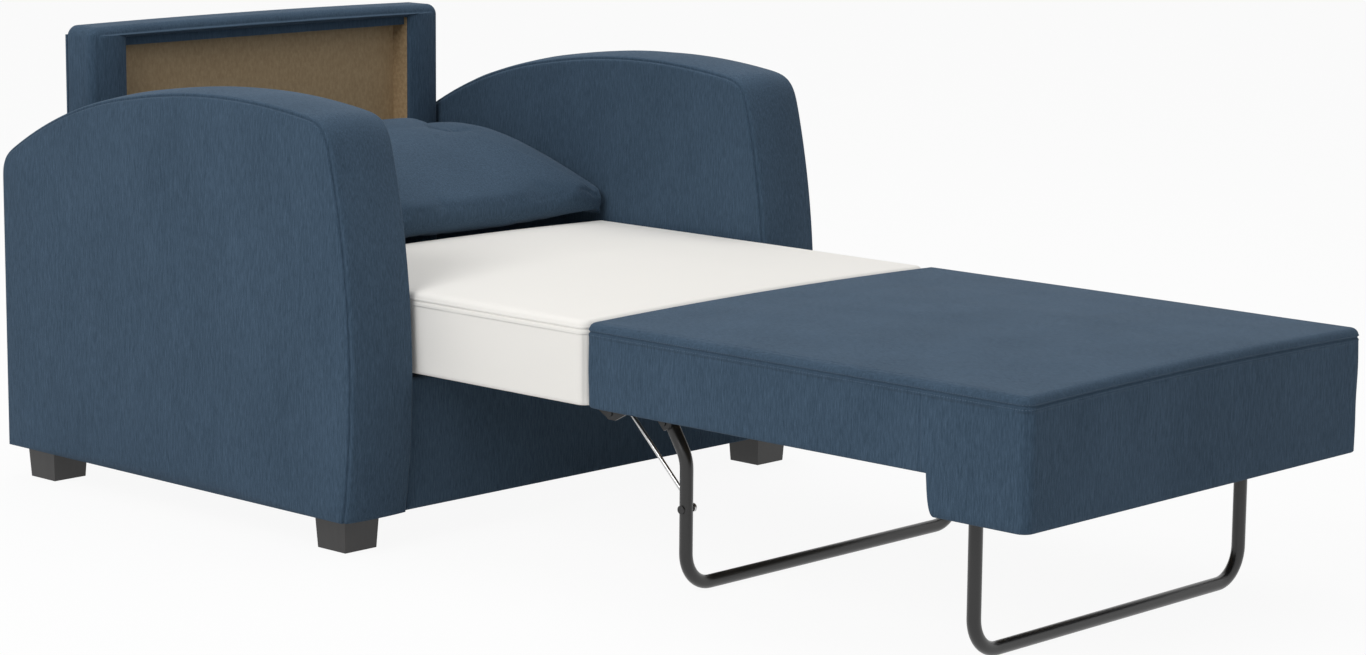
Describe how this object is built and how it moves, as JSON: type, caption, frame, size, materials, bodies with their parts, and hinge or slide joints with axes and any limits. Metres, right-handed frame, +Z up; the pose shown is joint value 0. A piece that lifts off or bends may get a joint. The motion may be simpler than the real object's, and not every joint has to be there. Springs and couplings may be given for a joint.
{
  "type": "convertible chair bed",
  "caption": "Upholstered armchair with curved arms and an open back frame that folds out over the front into a single bed carried on tube hoops",
  "frame": {"origin": "on the floor under the middle of the whole piece with the bed open", "axes": "+Z up, +Y towards the back rest, the bed opens towards -Y, +X is the sitter's left"},
  "size_m": [1, 1.935, 0.707],
  "materials": {
    "blue_fabric": "woven chenille with a fine mixed yarn, matt",
    "white_fabric": "smooth off-white mattress cotton",
    "foam": "open cell foam",
    "timber": "bare planed softwood",
    "hardboard": "bare smooth board",
    "black_feet": "black satin lacquer",
    "black_tube": "black satin powder coat",
    "frame_steel": "black powder coat",
    "zinc_steel": "bright zinc plate"
  },
  "bodies": {
    "chair": {"right_arm_cover": "blue_fabric", "left_arm_cover": "blue_fabric", "right_arm_box": "timber", "left_arm_box": "timber", "right_front_foot": "black_feet", "left_front_foot": "black_feet", "right_rear_foot": "black_feet", "left_rear_foot": "black_feet", "right_pivot_plate": "zinc_steel", "left_pivot_plate": "zinc_steel", "foot_bolts": "zinc_steel", "apron_board": "timber", "apron_cover": "blue_fabric", "right_back_stile": "timber", "left_back_stile": "timber", "back_top_rail": "blue_fabric", "back_lower_rail": "timber", "back_bottom_rail": "timber", "recess_board": "hardboard", "back_cover": "blue_fabric", "rear_panel": "blue_fabric"},
    "middle_section": {"middle_right_tube": "frame_steel", "middle_left_tube": "frame_steel", "middle_front_tube": "frame_steel", "middle_rear_tube": "frame_steel", "middle_slats": "timber", "middle_foam": "foam", "middle_cover": "white_fabric", "right_pivot_bracket": "frame_steel", "left_pivot_bracket": "frame_steel", "right_pivot_pin": "zinc_steel", "left_pivot_pin": "zinc_steel", "middle_hinge_leaves": "frame_steel", "fold_hinge_pins": "frame_steel"},
    "seat_section": {"seat_right_tube": "frame_steel", "seat_left_tube": "frame_steel", "seat_front_tube": "frame_steel", "seat_rear_tube": "frame_steel", "seat_slats": "timber", "seat_foam": "foam", "seat_cover": "blue_fabric", "seat_hinge_leaves": "frame_steel", "valance_front": "blue_fabric", "valance_returns": "blue_fabric", "rear_hoop_rail": "frame_steel", "front_hoop_rail": "frame_steel", "rear_hoop_brackets": "frame_steel", "front_hoop_brackets": "frame_steel"},
    "rear_hoop_leg": {"rear_hoop": "black_tube", "rear_hoop_pins": "frame_steel", "stay_rivets": "frame_steel"},
    "front_hoop_leg": {"front_hoop": "black_tube", "front_hoop_pins": "frame_steel"},
    "stays": {"right_stay": "zinc_steel", "left_stay": "zinc_steel"},
    "cushion": {"back_cushion": "blue_fabric"}
  },
  "joints": [
    {"name": "bed_fold", "type": "hinge", "parent": "chair", "child": "middle_section", "pos_m": [0, 0.345, 0.248], "axis": [-1, 0, 0], "range_deg": [0, 180]},
    {"name": "seat_level", "type": "hinge", "parent": "middle_section", "child": "seat_section", "pos_m": [0, -0.1955, 0.24], "axis": [1, 0, 0], "range_deg": [0, 180]},
    {"name": "rear_hoop_fold", "type": "hinge", "parent": "seat_section", "child": "rear_hoop_leg", "pos_m": [0, -0.2875, 0.238], "axis": [-1, 0, 0], "range_deg": [0, 90]},
    {"name": "front_hoop_fold", "type": "hinge", "parent": "seat_section", "child": "front_hoop_leg", "pos_m": [0, -0.8275, 0.262], "axis": [1, 0, 0], "range_deg": [0, 90]},
    {"name": "stay_turn", "type": "hinge", "parent": "rear_hoop_leg", "child": "stays", "pos_m": [0, -0.3185, 0.12], "axis": [1, 0, 0], "range_deg": [0, 33.9]},
    {"name": "cushion_lift", "type": "hinge", "parent": "chair", "child": "cushion", "pos_m": [0, 0.6788, 0.6154], "axis": [1, 0, 0], "range_deg": [0, 84], "deforming": ["back_cushion"]}
  ],
  "couplings": [
    {"joint": "seat_level", "follows": "bed_fold", "ratio": 1},
    {"joint": "rear_hoop_fold", "follows": "bed_fold", "ratio": 0.5},
    {"joint": "front_hoop_fold", "follows": "bed_fold", "ratio": 0.5},
    {"joint": "stay_turn", "follows": "bed_fold", "ratio": 0.18833},
    {"joint": "cushion_lift", "follows": "bed_fold", "ratio": 0.46667}
  ]
}
